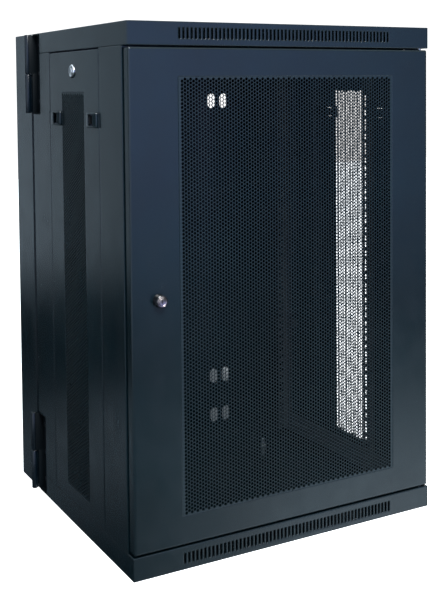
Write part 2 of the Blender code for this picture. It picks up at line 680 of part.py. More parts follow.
for piece in (front_door(), door_mesh(), door_stiffener("door_stiffener_left", -0.2265),
              door_stiffener("door_stiffener_right", 0.2320),
              door_hinge_pin("door_hinge_pin_lower", 0.0300, 0.0480),
              door_hinge_pin("door_hinge_pin_upper", 0.8420, 0.8600),
              door_lock_body(), door_lock_plug(),
              lock_cam("door_lock_cam", "Y", (LOCK_X, LOCK_Z), FRONT + 0.0260, FRONT + 0.0280,
                       (0.0, -0.0320), (LOCK_X, FRONT, LOCK_Z), PLUG_R + GAP)):
    hang(piece, door)

for word, side in (("left", -1), ("right", 1)):
    axis = empty_at(word + "_panel_slide", (side * HALF, 0.0, 0.0), case)
    pieces = [side_panel(word + "_side_panel", side), side_grille(word + "_side_grille", side),
              side_lock_body(word + "_lock_body", side), side_lock_plug(word + "_lock_plug", side)]
    cam_ends = sorted((side * (HALF - 0.0173), side * (HALF - 0.0193)))
    pieces.append(lock_cam(word + "_lock_cam", "X", (SIDE_LOCK_Y, SIDE_LOCK_Z), cam_ends[0],
                           cam_ends[1], (-0.0280, 0.0),
                           (side * HALF, SIDE_LOCK_Y, SIDE_LOCK_Z), PLUG_R + GAP))
    for tag, (start, way, tip) in zip(("front", "rear"), latch_places()):
        pieces.append(latch_bezel(f"{word}_{tag}_latch_bezel", side, start))
        pieces.append(latch_slide(f"{word}_{tag}_latch_slide", side, start, way, tip))
    for piece in pieces:
        hang(piece, axis)

for tag, z in zip(("lower", "upper"), SWING_LATCH_Z):
    hang(swing_latch("swing_latch_" + tag, z), case)
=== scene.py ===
"""Looks of the swing-out wall rack cabinet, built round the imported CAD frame."""
import json
import math

import bmesh
import bpy
from mathutils import Matrix, Vector


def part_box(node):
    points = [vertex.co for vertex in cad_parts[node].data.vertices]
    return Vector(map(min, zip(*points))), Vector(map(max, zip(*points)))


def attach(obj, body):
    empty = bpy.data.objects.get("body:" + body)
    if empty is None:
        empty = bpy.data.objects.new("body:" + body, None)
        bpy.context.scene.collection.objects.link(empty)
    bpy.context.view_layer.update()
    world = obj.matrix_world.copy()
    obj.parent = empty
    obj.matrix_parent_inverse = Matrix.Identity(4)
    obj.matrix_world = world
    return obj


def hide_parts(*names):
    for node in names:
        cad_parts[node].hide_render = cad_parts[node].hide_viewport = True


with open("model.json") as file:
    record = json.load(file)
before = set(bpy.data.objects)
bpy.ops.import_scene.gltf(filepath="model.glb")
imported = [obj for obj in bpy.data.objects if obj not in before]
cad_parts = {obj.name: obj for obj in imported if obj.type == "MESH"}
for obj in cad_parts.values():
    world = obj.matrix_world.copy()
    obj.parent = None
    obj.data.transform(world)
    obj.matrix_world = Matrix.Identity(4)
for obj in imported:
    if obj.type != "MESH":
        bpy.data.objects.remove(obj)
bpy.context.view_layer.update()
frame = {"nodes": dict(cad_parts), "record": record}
NODES = frame["nodes"]

# ---------------------------------------------------------------- sizes: the frame's, then the pieces'
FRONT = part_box("front_door")[0].y        # outer face of the door
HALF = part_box("top_cover")[1].x          # half of the case's width
SHEET = 0.0015
GAP = 0.0003                             # air between parts that touch

PITCH = 0.0060                           # perforation: distance between neighbours
HOLE_FLATS = 0.0050                      # perforation: size of one hole across its flats
DOOR_COLUMNS = 81
STRIP_COLUMNS = 20
ROWS = 118
LEFT_STRIP_THICK = 0.0021

BARREL_R = 0.0058                        # long hinges
BARREL_CROWN = 0.0013                    # rounding of the barrels' ends
BORE_R = 0.0033                          # blind bore of the upper knuckle
PIN_R = 0.0030
WALL_KNUCKLE = 0.0755                    # length of the lower knuckle
ARM_FRONT, ARM_BACK = 0.1725, 0.1762     # arms of the case's half, between case and wall frame
PLATE_THICK = 0.0030

WINDOW = (0.0150, 0.0360)                # slide latches: window, from the frame's front edge
GRIP_LONG = 0.0040                       # finger grip of a latch tongue

PLUG_R = 0.0060                          # key locks
SLEEVE_R = 0.0063                        # bore of the housing round the plug
KEY_SLOT = (0.0008, 0.0036)              # key slot: half width and half height


# ---------------------------------------------------------------- node helpers
class Shade:
    """A material's node tree, with short ways to add the nodes that repeat."""

    def __init__(self, name):
        self.mat = bpy.data.materials.new(name)
        self.mat.use_nodes = True
        self.tree = self.mat.node_tree
        self.shader = self.tree.nodes["Principled BSDF"]
        coords = self.tree.nodes.new("ShaderNodeTexCoord")
        self.place = coords.outputs["Object"]

    def node(self, kind, inputs=None, **settings):
        made = self.tree.nodes.new(kind)
        for key, value in settings.items():
            setattr(made, key, value)
        for key, value in (inputs or {}).items():
            if isinstance(value, bpy.types.NodeSocket):
                self.tree.links.new(value, made.inputs[key])
            else:
                made.inputs[key].default_value = value
        return made

    def noise(self, scale, detail=3.0, rough=0.55, place=None):
        made = self.node("ShaderNodeTexNoise",
                         {"Vector": place or self.place, "Scale": scale, "Detail": detail,
                          "Roughness": rough})
        return made.outputs["Fac"]

    def span(self, value, low, high, to_low, to_high):
        made = self.node("ShaderNodeMapRange",
                         {"Value": value, "From Min": low, "From Max": high,
                          "To Min": to_low, "To Max": to_high})
        return made.outputs["Result"]

    def math(self, operation, a, b=0.0, clamp=False):
        made = self.node("ShaderNodeMath", {0: a, 1: b}, operation=operation, use_clamp=clamp)
        return made.outputs[0]

    def mix(self, factor, a, b):
        made = self.node("ShaderNodeMix", data_type="RGBA")
        for key, value in ((0, factor), (6, a), (7, b)):
            if isinstance(value, bpy.types.NodeSocket):
                self.tree.links.new(value, made.inputs[key])
            else:
                made.inputs[key].default_value = value
        return made.outputs[2]

    def bump(self, height, strength, distance, normal=None):
        inputs = {"Height": height, "Strength": strength, "Distance": distance}
        if normal is not None:
            inputs["Normal"] = normal
        return self.node("ShaderNodeBump", inputs).outputs["Normal"]

    def edges(self, radius, samples=6):
        """1 on flat faces, less near an edge: the rounded normal against the true one."""
        soft = self.node("ShaderNodeBevel", {"Radius": radius}, samples=samples)
        flat = self.node("ShaderNodeNewGeometry")
        dot = self.node("ShaderNodeVectorMath",
                        {0: soft.outputs["Normal"], 1: flat.outputs["Normal"]},
                        operation="DOT_PRODUCT")
        return dot.outputs["Value"]

    def set(self, **sockets):
        for key, value in sockets.items():
            target = self.shader.inputs[key.replace("_", " ")]
            if isinstance(value, bpy.types.NodeSocket):
                self.tree.links.new(value, target)
            else:
                target.default_value = value
        return self.mat


def grey(value):
    return (value, value, value, 1.0)


def powder_coat(name, color, rough, grain=1.0, edge_wear_and_highlight=True, fold=0.0, specular=0.5):
    """Fine orange peel over broad, faint unevenness, and lighter paint along the edges that is partly
    thin, chipped paint and partly a painted highlight.

    fold is the radius over which folded corners catch the light.
    """
    s = Shade(name)
    broad = s.noise(3.5, 3.0)
    patch = s.noise(22.0, 4.0)
    peel = s.noise(620.0, 2.0)
    sand = s.noise(2400.0, 2.0, 0.7)
    dark = tuple(c * 0.80 for c in color) + (1.0,)
    light = tuple(c * 1.24 for c in color) + (1.0,)
    base = s.mix(s.span(broad, 0.32, 0.68, 0.0, 1.0), dark, light)
    fleck = s.span(sand, 0.60, 0.75, 0.0, 0.10)
    base = s.mix(fleck, base, tuple(min(1.0, c * 1.6) for c in color) + (1.0,))
    roughness = s.span(patch, 0.3, 0.7, rough - 0.035, rough + 0.035)
    grime = s.span(s.noise(70.0, 5.0, 0.7), 0.55, 0.80, 0.0, 0.06)
    roughness = s.math("ADD", roughness, grime)
    # lighter colour along the edges: partly chipped, thin paint, partly a painted highlight on the
    # folds
    if edge_wear_and_highlight:
        edge = s.span(s.edges(0.0012), 0.995, 0.80, 0.0, 1.0)
        chip_and_highlight = s.math("MULTIPLY", edge, s.span(s.noise(180.0, 4.0), 0.40, 0.62, 0.25, 1.0))
        base = s.mix(s.math("MULTIPLY", chip_and_highlight, 0.55), base,
                     tuple(min(1.0, 0.012 + c * 3.0) for c in color) + (1.0,))
        roughness = s.math("SUBTRACT", roughness, s.math("MULTIPLY", edge, 0.07))
    soft = None
    if fold:
        soft = s.node("ShaderNodeBevel", {"Radius": fold}, samples=6).outputs["Normal"]
    normal = s.bump(peel, 0.06 * grain, 0.00008, soft)
    normal = s.bump(sand, 0.03 * grain, 0.00002, normal)
    s.shader.inputs["IOR"].default_value = 1.50
    s.shader.inputs["Specular IOR Level"].default_value = specular
    return s.set(Base_Color=base, Roughness=roughness, Normal=normal)


def moulded(name, color, rough, specular=0.5):
    """Black nylon: a fine spark-eroded grain and a waxy variation in gloss."""
    s = Shade(name)
    grain = s.noise(1500.0, 3.0, 0.65)
    wax = s.noise(45.0, 4.0)
    base = s.mix(s.span(wax, 0.3, 0.7, 0.0, 1.0), tuple(c * 0.8 for c in color) + (1.0,),
                 tuple(c * 1.3 for c in color) + (1.0,))
    # lighter colour along the edges: a painted highlight
    edge = s.span(s.edges(0.0006), 0.995, 0.80, 0.0, 1.0)
    base = s.mix(s.math("MULTIPLY", edge, 0.4), base, grey(0.035))
    roughness = s.span(wax, 0.3, 0.7, rough - 0.05, rough + 0.06)
    s.shader.inputs["IOR"].default_value = 1.48
    s.shader.inputs["Specular IOR Level"].default_value = specular
    return s.set(Base_Color=base, Roughness=roughness, Normal=s.bump(grain, 0.14, 0.00008))


def plated(name, color, rough, brushed=0.0):
    """Bright plating: cloudy roughness, hairlines and small dull spots."""
    s = Shade(name)
    cloud = s.noise(60.0, 4.0)
    spots = s.span(s.noise(420.0, 3.0, 0.7), 0.62, 0.78, 0.0, 1.0)
    stretch = s.node("ShaderNodeMapping", {"Vector": s.place, "Scale": (1.0, 1.0, 14.0)})
    hair = s.noise(900.0, 2.0, 0.6, stretch.outputs["Vector"])
    base = s.mix(s.math("MULTIPLY", spots, 0.35), color + (1.0,),
                 tuple(c * 0.55 for c in color) + (1.0,))
    roughness = s.math("ADD", s.span(cloud, 0.3, 0.7, rough - 0.04, rough + 0.06),
                       s.math("MULTIPLY", spots, 0.12))
    s.shader.inputs["Metallic"].default_value = 1.0
    return s.set(Base_Color=base, Roughness=roughness,
                 Normal=s.bump(hair, 0.05 + brushed, 0.00004))


COAT = (0.0010, 0.0042, 0.0060)
PAINT = powder_coat("powder_coat_black", COAT, 0.22, fold=0.0026)
MESH_PAINT = powder_coat("powder_coat_perforated", (0.0018, 0.0064, 0.0088), 0.34, edge_wear_and_highlight=False)
STRIP_PAINT = powder_coat("powder_coat_side_strip", COAT, 0.30, edge_wear_and_highlight=False, specular=0.28)
RAIL_PAINT = powder_coat("powder_coat_rails", (0.0062, 0.0070, 0.0080), 0.46, 1.3)
HINGE_PAINT = powder_coat("hinge_satin_black", (0.0010, 0.0030, 0.0052), 0.24, 0.7, specular=0.36)
# darker, duller paint for the hinge pockets and the case plates in them: a matt liner, darkened further
# as painted shade for the deep recess
POCKET_SHADE = powder_coat("hinge_pocket_matt", (0.0006, 0.0020, 0.0030), 0.62, edge_wear_and_highlight=False, specular=0.10)
PLASTIC = moulded("moulded_black", (0.0060, 0.0072, 0.0090), 0.40)
# latch tongues, darker than the other black plastic: partly painted shade in the finger windows
SLIDE_SHADE = moulded("moulded_slide", (0.0008, 0.0014, 0.0020), 0.55, specular=0.25)
GLOSS = moulded("moulded_lock_housing", (0.0030, 0.0036, 0.0046), 0.20)
LOCK_CHROME = plated("door_lock_chrome", (0.44, 0.36, 0.34), 0.22)
CHROME = plated("lock_chrome_plate", (0.80, 0.81, 0.83), 0.20)
ZINC = plated("zinc_passivated", (0.50, 0.52, 0.53), 0.36, 0.08)
SCREW_BLACK = plated("screw_black_oxide", (0.030, 0.033, 0.038), 0.40, 0.05)

SLOT_MATERIAL = {"black_powder_coat": PAINT, "black_mesh_coat": MESH_PAINT,
                 "rail_black_coat": RAIL_PAINT, "black_plastic": PLASTIC,
                 "lock_chrome": CHROME, "zinc_steel": ZINC, "hinge_black_steel": HINGE_PAINT}


# ---------------------------------------------------------------- mesh helpers
def piece(name, bm, mat, body, smooth=None, replaces=()):
    bmesh.ops.recalc_face_normals(bm, faces=bm.faces)
    mesh = bpy.data.meshes.new(name)
    bm.to_mesh(mesh)
    bm.free()
    return piece_of(name, mesh, mat, body, smooth, replaces)


def piece_of(name, mesh, mat, body, smooth=None, replaces=()):
    mesh.materials.clear()
    mesh.materials.append(mat)
    obj = bpy.data.objects.new(name, mesh)
    bpy.context.scene.collection.objects.link(obj)
    if smooth is not None:
        mesh.shade_smooth()
        mesh.set_sharp_from_angle(angle=math.radians(smooth))
    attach(obj, body)
    if replaces:
        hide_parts(*replaces)
    return obj


def bevel(bm, edges, width, segments=2, profile=0.5):
    bmesh.ops.bevel(bm, geom=list(edges), offset=width, segments=segments, profile=profile,
                    affect='EDGES', clamp_overlap=True)


def sharp_edges(bm, degrees=25.0):
    bm.normal_update()
    return [e for e in bm.edges
            if len(e.link_faces) == 2 and e.calc_face_angle(0.0) > math.radians(degrees)]


def add_box(bm, low, high, round_by=0.0, segments=2):
    made = bmesh.ops.create_cube(bm, size=1.0)["verts"]
    size = [high[i] - low[i] for i in range(3)]
    for v in made:
        v.co = Vector([low[i] + (v.co[i] + 0.5) * size[i] for i in range(3)])
    if round_by:
        edges = {e for v in made for e in v.link_edges}
        bevel(bm, edges, round_by, segments)
    return made


def turned(bm, profile, place, axis, count=32):
    """Lathe: profile is (radius, distance along axis) from one end to the other."""
    turn = Vector((0, 0, 1)).rotation_difference(Vector(axis)).to_matrix()
    rings = []
    for radius, along in profile:
        if radius < 1e-7:
            rings.append([bm.verts.new(Vector(place) + turn @ Vector((0, 0, along)))])
            continue
        ring = []
        for i in range(count):
            a = 2 * math.pi * i / count
            offset = Vector((radius * math.cos(a), radius * math.sin(a), along))
            ring.append(bm.verts.new(Vector(place) + turn @ offset))
        rings.append(ring)
    for a, b in zip(rings, rings[1:]):
        for i in range(count):
            j = (i + 1) % count
            corners = [a[i % len(a)], a[j % len(a)], b[j % len(b)], b[i % len(b)]]
            unique = list(dict.fromkeys(corners))
            if len(unique) > 2:
                bm.faces.new(unique)


def rounded(width, height, radius, steps=4):
    """Outline of a rectangle with round corners, centred on the origin."""
    points = []
    for quarter, (sx, sy) in enumerate(((1, 1), (-1, 1), (-1, -1), (1, -1))):
        cx, cy = sx * (width / 2 - radius), sy * (height / 2 - radius)
        for i in range(steps + 1):
            a = math.pi / 2 * (quarter + i / steps)
            points.append((cx + radius * math.cos(a), cy + radius * math.sin(a)))
    return points


def ring_solid(bm, outer, inner, place, low, high):
    """Frame between two outlines with the same number of points, from low to high."""
    count = len(outer)
    layers = {(o, h): [bm.verts.new(place(p, h)) for p in line]
              for o, line in (("out", outer), ("in", inner)) for h in (low, high)}
    for i in range(count):
        j = (i + 1) % count
        for h in (low, high):
            a, b = layers["out", h], layers["in", h]
            bm.faces.new((a[i], a[j], b[j], b[i]))
        for o in ("out", "in"):
            a, b = layers[o, low], layers[o, high]
            bm.faces.new((a[i], a[j], b[j], b[i]))


# ---------------------------------------------------------------- perforated sheet
def perforated(name, u_span, v_span, place, mat, body, columns, rows, first, last,
               replaces=(), thick=SHEET):
    """Sheet with a staggered field of six-sided holes, as one closed mesh.

    u runs across the columns, v along them. Columns first to last belong to this
    piece; a piece that ends inside the field ends on its cells' shared corners.
    """
    step = PITCH * math.sqrt(3) / 2
    corner = PITCH / math.sqrt(3)
    hole = HOLE_FLATS / math.sqrt(3)
    u0 = (u_span[0] + u_span[1]) / 2 - step * (columns - 1) / 2
    v0 = (v_span[0] + v_span[1]) / 2 - PITCH * (rows - 0.5) / 2
    angles = [math.pi / 3 * k for k in range(6)]
    verts, index, faces, count = [], {}, [], {}

    def vert(u, v, layer):
        key = (round(u * 1e6), round(v * 1e6), layer)
        if key not in index:
            index[key] = len(verts)
            verts.append(place(u, v, layer * thick))
        return index[key]

    def plate(points):
        """A polygon of the sheet: both faces. Remembers its edges to close the rim."""
        front = [vert(u, v, 0) for u, v in points]
        back = [vert(u, v, 1) for u, v in points]
        faces.append(tuple(front))
        faces.append(tuple(reversed(back)))
        for i in range(len(points)):
            j = (i + 1) % len(points)
            count.setdefault(frozenset((front[i], front[j])), []).append(
                (front[i], front[j], back[i], back[j]))

    def cell(i, j):
        return u0 + step * i, v0 + PITCH * j + (PITCH / 2 if i % 2 else 0.0)

    for i in range(first, last):
        for j in range(rows):
            cu, cv = cell(i, j)
            out = [(cu + corner * math.cos(a), cv + corner * math.sin(a)) for a in angles]
            rim = [(cu + hole * math.cos(a), cv + hole * math.sin(a)) for a in angles]
            for k in range(6):
                m = (k + 1) % 6
                plate([out[k], out[m], rim[m], rim[k]])
    # plain margins between the zigzag of the outer cells and the straight edges
    for side, v_edge, row in ((1, v_span[1], rows - 1), (-1, v_span[0], 0)):
        line = []
        for i in range(first, last):
            cu, cv = cell(i, row)
            line += [(cu - corner / 2, cv + side * PITCH / 2), (cu + corner / 2, cv + side * PITCH / 2)]
        if first == 0:
            line.insert(0, (u_span[0], line[0][1]))
        if last == columns:
            line.append((u_span[1], line[-1][1]))
        for a, b in zip(line, line[1:]):
            quad = [a, b, (b[0], v_edge), (a[0], v_edge)]
            plate(quad if side > 0 else list(reversed(quad)))
    for wanted, edge, i, side in ((first == 0, u_span[0], 0, -1),
                                  (last == columns, u_span[1], columns - 1, 1)):
        if not wanted:
            continue
        for j in range(rows):
            cu, cv = cell(i, j)
            tip = (cu + side * corner, cv)
            for dv in (-PITCH / 2, PITCH / 2):
                end = (cu + side * corner / 2, cv + dv)
                quad = [tip, end, (edge, end[1]), (edge, tip[1])]
                plate(quad if side * dv < 0 else list(reversed(quad)))
    for sides in count.values():
        if len(sides) == 1:
            a, b, c, d = sides[0]
            faces.append((b, a, c, d))
    mesh = bpy.data.meshes.new(name)
    mesh.from_pydata(verts, [], faces)
    mesh.validate()
    bm = bmesh.new()
    bm.from_mesh(mesh)
    bmesh.ops.recalc_face_normals(bm, faces=bm.faces)
    bm.to_mesh(mesh)
    bm.free()
    return piece_of(name, mesh, mat, body, None, replaces)


def door_place(u, v, w):
    return (u, FRONT + w, v)


low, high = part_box("door_mesh")
door_u = (low.x - GAP, high.x + GAP)
door_v = (low.z - GAP, high.z + GAP)
middle = DOOR_COLUMNS // 2
perforated("door_perforation_left", door_u, door_v, door_place, MESH_PAINT, "front_door",
           DOOR_COLUMNS, ROWS, 0, middle, ("door_mesh",))
perforated("door_perforation_right", door_u, door_v, door_place, MESH_PAINT, "front_door",
           DOOR_COLUMNS, ROWS, middle, DOOR_COLUMNS)
for word, side in (("left", -1), ("right", 1)):
    low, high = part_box(word + "_side_grille")
    perforated(word + "_side_perforation", (low.y - GAP, high.y + GAP), (low.z - GAP, high.z + GAP),
               lambda u, v, w, s=side: (s * (HALF - w), u, v), STRIP_PAINT, word + "_panel",
               STRIP_COLUMNS, ROWS, 0, STRIP_COLUMNS,
               (word + "_side_grille",), LEFT_STRIP_THICK if side < 0 else SHEET)


# ---------------------------------------------------------------- screws
def screw_mesh(name, radius, rise, recess):
    """Domed head with a six-sided socket, along +Z, seated on z 0."""
    bm = bmesh.new()
    dome = [(0.0, 0.0), (radius, 0.0), (radius, rise * 0.35), (radius * 0.93, rise * 0.72),
            (radius * 0.74, rise * 0.94), (radius * 0.55, rise)]
    turned(bm, dome + [(recess, rise), (recess * 0.96, rise * 0.45), (0.0, rise * 0.40)],
           (0, 0, 0), (0, 0, 1), 24)
    for v in bm.verts:
        flat = math.hypot(v.co.x, v.co.y)
        if 1e-6 < flat < recess * 1.02 and v.co.z > rise * 0.3:
            a = math.atan2(v.co.y, v.co.x) % (math.pi / 3) - math.pi / 6
            shrink = math.cos(math.pi / 6) / math.cos(a)
            v.co.x *= shrink
            v.co.y *= shrink
    bmesh.ops.recalc_face_normals(bm, faces=bm.faces)
    mesh = bpy.data.meshes.new(name)
    bm.to_mesh(mesh)
    bm.free()
    mesh.shade_smooth()
    mesh.set_sharp_from_angle(angle=math.radians(38))
    return mesh


SCREW = screw_mesh("screw_m5", 0.0045, 0.0024, 0.0020)
SCREW.materials.append(SCREW_BLACK)


def screw(name, place, axis, body, turn=0.0):
    obj = bpy.data.objects.new(name, SCREW)
    bpy.context.scene.collection.objects.link(obj)
    spin = Vector((0, 0, 1)).rotation_difference(Vector(axis)).to_matrix().to_4x4()
    obj.matrix_world = Matrix.Translation(place) @ spin @ Matrix.Rotation(turn, 4, 'Z')
    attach(obj, body)
    return obj


# ---------------------------------------------------------------- long hinges
def knuckle(bm, place, low, high, radius, crown, bore=0.0, bore_top=0.0):
    """Barrel with crowned ends and, if bore is set, a blind bore from below."""
    crowned = []
    for i in range(1, 6):
        a = math.pi / 2 * i / 5
        crowned.append((radius * (0.45 + 0.55 * math.sin(a)), crown * (1 - math.cos(a))))
    closed = [(0.0, 0.0), (radius * 0.45, crown * 0.05)]
    start = [(0.0, bore_top), (bore, bore_top), (bore, low + crown * 0.03)] if bore else \
        [(r, low + z) for r, z in closed]
    profile = start + [(r, low + z) for r, z in crowned]
    top = [(r, high - z) for r, z in reversed(closed + crowned)]
    turned(bm, profile + top, place, (0, 0, 1), 32)


def long_hinge(tag):
    """Upper knuckle with arm and plate on the case, lower knuckle with pin and leaf on the wall."""
    low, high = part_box("hinge_case_leaf_" + tag)
    wall_low, wall_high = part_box("hinge_wall_leaf_" + tag)
    axis = Vector((low.x + BARREL_R, high.y - BARREL_R, 0.0))
    middle = wall_low.z + WALL_KNUCKLE

    bm = bmesh.new()
    knuckle(bm, axis, middle + 0.0004, high.z, BARREL_R, BARREL_CROWN, BORE_R,
            wall_high.z - 0.0052)
    piece("hinge_case_half_" + tag, bm, HINGE_PAINT, "case", 32,
          ("hinge_case_leaf_" + tag,))

    bm = bmesh.new()
    add_box(bm, (axis.x, ARM_FRONT, middle + 0.0005),
            (high.x - 0.0010, ARM_BACK, high.z - 0.0012), 0.0006)
    add_box(bm, (axis.x + 0.0064, ARM_FRONT, wall_low.z + 0.0004),
            (high.x - 0.0010, ARM_BACK, middle + 0.0010), 0.0004)
    add_box(bm, (high.x - PLATE_THICK, low.y, wall_low.z + 0.0004),
            (high.x, ARM_BACK + GAP, wall_high.z - 0.0030), 0.0005)
    piece("hinge_case_plate_" + tag, bm, POCKET_SHADE, "case", 32)
    for i in range(3):
        z = wall_low.z + 0.0220 + i * (wall_high.z - wall_low.z - 0.044) / 2
        screw(f"hinge_screw_{tag}_{i}", (high.x - PLATE_THICK, 0.1595, z), (-1, 0, 0),
              "case", 0.4 * i)

    bm = bmesh.new()
    knuckle(bm, axis, wall_low.z, middle + 0.0001, BARREL_R, BARREL_CROWN)
    turned(bm, [(0.0, middle - 0.006), (PIN_R, middle - 0.006), (PIN_R, wall_high.z - 0.0062),
                (0.0, wall_high.z - 0.0060)], axis, (0, 0, 1), 20)
    leaf_y = (axis.y - 0.0008, axis.y + 0.0012)
    add_box(bm, (axis.x + 0.0045, leaf_y[0], wall_low.z + 0.0010),
            (axis.x + 0.0090, leaf_y[1], middle - 0.0010), 0.0003)
    add_box(bm, (axis.x + 0.0074, leaf_y[0], wall_low.z), (wall_high.x, leaf_y[1], wall_high.z),
            0.0003)
    piece("hinge_wall_half_" + tag, bm, HINGE_PAINT, "wall", 32,
          ("hinge_wall_leaf_" + tag,))


for tag in ("lower", "upper"):
    long_hinge(tag)


# ---------------------------------------------------------------- slide latches
def latch(word, side, tag):
    """Frame with its window, and the tongue with its finger grip, on a side panel."""
    low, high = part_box(f"{word}_{tag}_latch_bezel")
    center = (low + high) / 2
    outer, inner = (high.x, low.x) if side > 0 else (low.x, high.x)

    def place(p, h):
        return Vector((h, center.y + p[0], center.z + p[1]))

    bm = bmesh.new()
    win_low, win_high = low.y + WINDOW[0], low.y + WINDOW[1]
    shift = (win_low + win_high) / 2 - center.y
    out = rounded(high.y - low.y, high.z - low.z, 0.0022)
    win = [(x + shift, z) for x, z in rounded(win_high - win_low, high.z - low.z - 0.007, 0.0012)]
    ring_solid(bm, out, win, place, inner, outer)
    rim = [e for e in sharp_edges(bm, 50) if all(abs(v.co.x - outer) < 1e-6 for v in e.verts)]
    bevel(bm, rim, 0.0009, 3)
    piece(f"{word}_{tag}_latch_frame", bm, PAINT, word + "_panel", 40,
          (f"{word}_{tag}_latch_bezel",))
    node = f"{word}_{tag}_latch_slide"
    low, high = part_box(node)
    grip = low.y if tag == "rear" else high.y - GRIP_LONG
    grip_y = (grip, grip + GRIP_LONG)
    bm = bmesh.new()
    plate = sorted((side * (HALF - 0.0022), side * (HALF - 0.0044)))
    add_box(bm, (plate[0], low.y, low.z), (plate[1], high.y, high.z), 0.0005)
    bar = sorted((side * (HALF - 0.0030), side * (HALF + 0.0022)))
    add_box(bm, (bar[0], grip_y[0], low.z + 0.0013), (bar[1], grip_y[1], high.z - 0.0013), 0.0006)
    ridge = sorted((side * (HALF + 0.0016), side * (HALF + 0.0034)))
    for i in range(3):
        y = grip_y[0] + 0.0003 + i * 0.0013
        add_box(bm, (ridge[0], y, low.z + 0.0018), (ridge[1], y + 0.0008, high.z - 0.0018), 0.00025)
    piece(f"{word}_{tag}_latch_tongue", bm, SLIDE_SHADE, f"{word}_{tag}_latch", 40,
          (node,))


for word, side in (("left", -1), ("right", 1)):
    for tag in ("front", "rear"):
        latch(word, side, tag)


# ---------------------------------------------------------------- key locks
def lock_plug(bm, place, axis, length):
    """Plug with a dished face. Its key slot is cut afterwards."""
    turned(bm, [(0.0, 0.0), (PLUG_R, 0.0), (PLUG_R, length - 0.0004),
                (PLUG_R - 0.0004, length), (PLUG_R * 0.55, length - 0.0003),
                (0.0, length - 0.0003)], place, axis, 32)


def cut_slot(obj, low, high):
    """Cuts the box from low to high out of obj, and keeps the result as its mesh."""
    bm = bmesh.new()
    add_box(bm, low, high)
    mesh = bpy.data.meshes.new(obj.name + "_slot")
    bm.to_mesh(mesh)
    bm.free()
    tool = bpy.data.objects.new(obj.name + "_slot", mesh)
    bpy.context.scene.collection.objects.link(tool)
    mod = obj.modifiers.new("slot", 'BOOLEAN')
    mod.operation, mod.solver, mod.object = 'DIFFERENCE', 'EXACT', tool
    bpy.context.view_layer.update()
    done = bpy.data.meshes.new_from_object(
        obj.evaluated_get(bpy.context.evaluated_depsgraph_get()))
    obj.modifiers.clear()
    bpy.data.objects.remove(tool)
    obj.data = done
    done.set_sharp_from_angle(angle=math.radians(35))


def door_lock():
    """Tall black housing with a chrome ring and plug, on the front door."""
    low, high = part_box("door_lock_body")
    lock = Vector(((low.x + high.x) / 2, FRONT, (low.z + high.z) / 2))
    proud = FRONT - low.y
    bm = bmesh.new()
    turned(bm, [(SLEEVE_R, -0.0255), (0.0090, -0.0255), (0.0090, -0.0003), (0.0110, -0.0003),
                (0.0110, 0.0012), (0.0106, 0.0020), (0.0105, proud - 0.0022),
                (0.0101, proud - 0.0009), (0.0093, proud - 0.0003), (0.0090, proud - 0.0003),
                (SLEEVE_R, proud - 0.0006), (SLEEVE_R, -0.0255)], lock, (0, -1, 0), 40)
    bmesh.ops.remove_doubles(bm, verts=bm.verts, dist=1e-6)
    piece("door_lock_housing", bm, GLOSS, "front_door", 35, ("door_lock_body",))
    bm = bmesh.new()
    turned(bm, [(0.0064, proud - 0.0012), (0.0081, proud - 0.0012), (0.0082, proud - 0.0004),
                (0.0078, proud), (0.0070, proud), (0.0067, proud - 0.0002), (0.0064, proud - 0.0005),
                (0.0064, proud - 0.0012)], lock, (0, -1, 0), 40)
    bmesh.ops.remove_doubles(bm, verts=bm.verts, dist=1e-6)
    piece("door_lock_ring", bm, LOCK_CHROME, "front_door", 35)
    low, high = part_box("door_lock_plug")
    bm = bmesh.new()
    lock_plug(bm, (lock.x, high.y, lock.z), (0, -1, 0), high.y - low.y)
    plug = piece("door_lock_core", bm, LOCK_CHROME, "door_lock", 35, ("door_lock_plug",))
    cut_slot(plug, (lock.x - KEY_SLOT[0], low.y - 0.002, lock.z - KEY_SLOT[1]),
             (lock.x + KEY_SLOT[0], low.y + 0.010, lock.z + KEY_SLOT[1]))


def side_lock(word, side):
    """Low chrome flange and plug, on a side panel."""
    low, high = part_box(word + "_lock_body")
    center = Vector((side * HALF, (low.y + high.y) / 2, (low.z + high.z) / 2))
    rise = 0.0032
    bm = bmesh.new()
    turned(bm, [(SLEEVE_R, -0.0170), (0.0090, -0.0170), (0.0090, 0.0003), (0.0120, 0.0003),
                (0.0119, 0.0011), (0.0112, 0.0022), (0.0098, 0.0030), (0.0084, rise),
                (0.0074, rise), (0.0068, rise - 0.0004), (SLEEVE_R, rise - 0.0010),
                (SLEEVE_R, -0.0170)], center, (side, 0, 0), 40)
    bmesh.ops.remove_doubles(bm, verts=bm.verts, dist=1e-6)
    piece(word + "_lock_flange", bm, CHROME, word + "_panel", 35,
          (word + "_lock_body",))
    low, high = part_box(word + "_lock_plug")
    inner, outer = (low.x, high.x) if side > 0 else (high.x, low.x)
    bm = bmesh.new()
    lock_plug(bm, (inner, center.y, center.z), (side, 0, 0), high.x - low.x)
    plug = piece(word + "_lock_core", bm, CHROME, word + "_lock", 35,
                 (word + "_lock_plug",))
    ends = sorted((outer + side * 0.002, outer - side * 0.010))
    cut_slot(plug, (ends[0], center.y - KEY_SLOT[0], center.z - KEY_SLOT[1]),
             (ends[1], center.y + KEY_SLOT[0], center.z + KEY_SLOT[1]))


door_lock()
for word, side in (("left", -1), ("right", 1)):
    side_lock(word, side)


